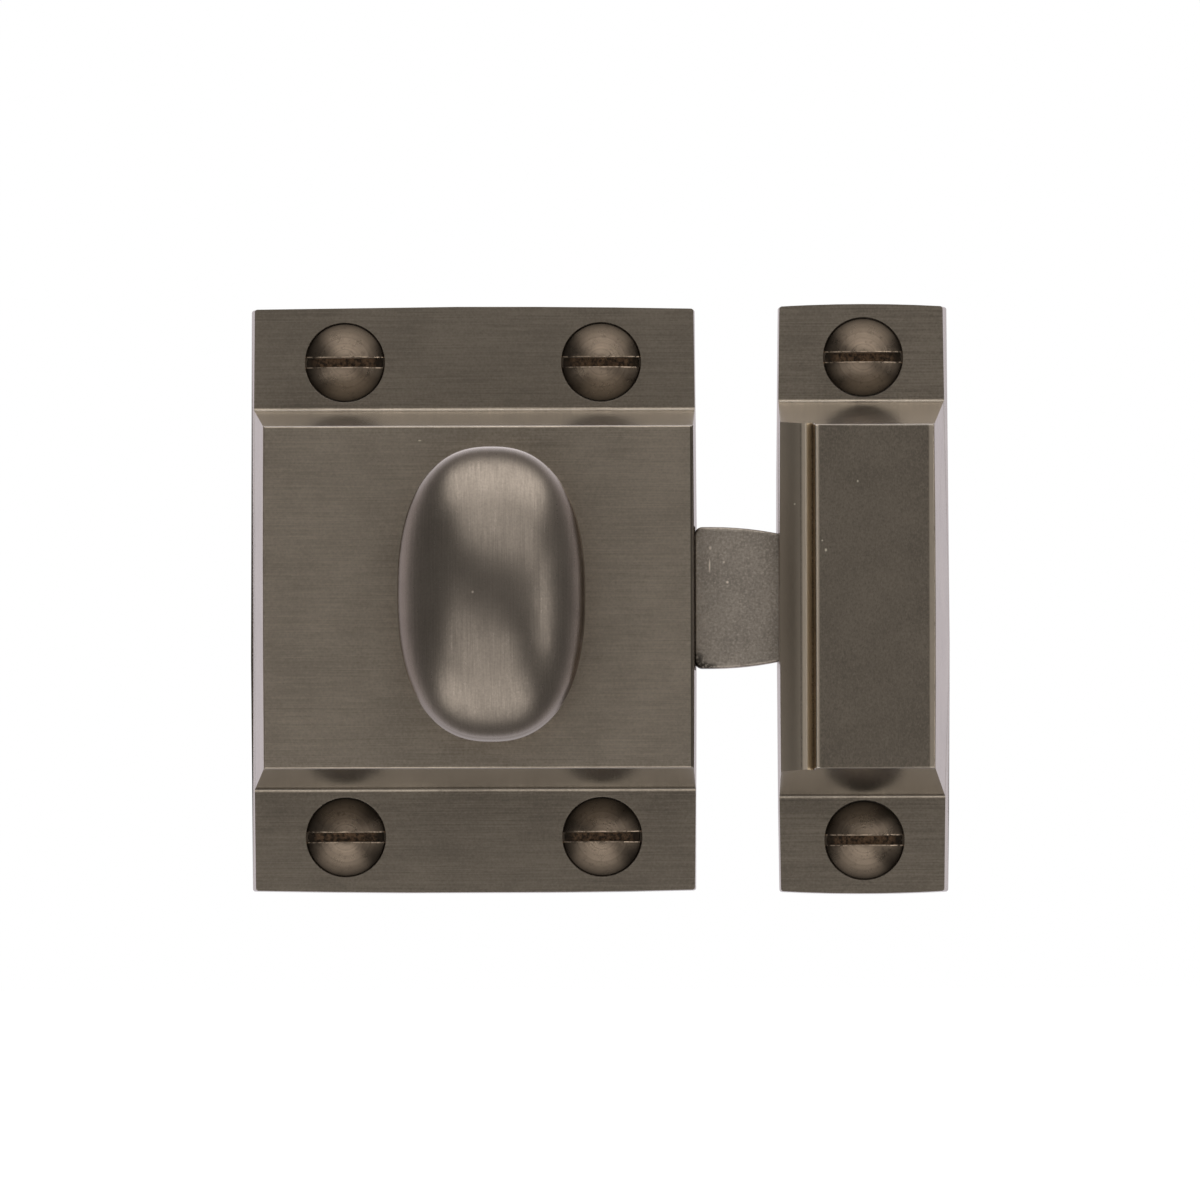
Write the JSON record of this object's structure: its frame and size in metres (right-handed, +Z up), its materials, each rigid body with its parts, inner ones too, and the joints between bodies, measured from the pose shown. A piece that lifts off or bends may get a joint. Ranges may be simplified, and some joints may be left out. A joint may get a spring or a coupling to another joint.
{
  "type": "cupboard catch latch",
  "caption": "Surface cupboard catch in dark bronze: an oval turn on a flanged case draws back a sprung bolt from a separate keeper with a ramped lip.",
  "frame": {"origin": "middle of the case on its back plane, the plane that lies against the cupboard door", "axes": "+X across the face from the case to the keeper, +Z up along the long side of the case, +Y into the cupboard door, so the face looks along -Y"},
  "size_m": [0.0596, 0.0416, 0.0502],
  "materials": {
    "bronze_casting": "dark bronze, fine brushed, satin",
    "bronze_turn": "dark bronze, brushed lengthwise, satin",
    "bronze_bolt": "dark bronze, as cast, dull",
    "bronze_screws": "dark bronze, turned, satin",
    "brass_inner": "plain brass, satin",
    "spring_wire": "drawn wire"
  },
  "bodies": {
    "case": {"case": "bronze_casting", "back_plate": "brass_inner", "plate_screws": "brass_inner", "case_screws": "bronze_screws", "bolt_spring": "spring_wire"},
    "knob": {"turn_knob": "bronze_turn", "spindle_washer": "brass_inner", "cam": "brass_inner", "cam_washer": "brass_inner", "cam_screw": "brass_inner"},
    "bolt": {"bolt": "bronze_bolt"},
    "keeper": {"keeper": "bronze_casting", "keeper_screws": "bronze_screws"}
  },
  "joints": [
    {"name": "knob_turn", "type": "hinge", "parent": "case", "child": "knob", "pos_m": [0.0017, 0, 0], "axis": [0, 1, 0], "range_deg": [0, 50], "stiffness_Nm_per_rad": 0.0084, "springref_deg": -63.03},
    {"name": "bolt_slide", "type": "slide", "parent": "case", "child": "bolt", "axis": [-1, 0, 0], "range_m": [0, 0.0049], "deforming": ["bolt_spring"]},
    {"name": "keeper_part", "type": "slide", "parent": "case", "child": "keeper", "axis": [1, 0, 0], "range_m": [0, 0.012]}
  ],
  "couplings": [
    {"joint": "knob_turn", "follows": "bolt_slide", "rad_per_m": 177.98}
  ]
}
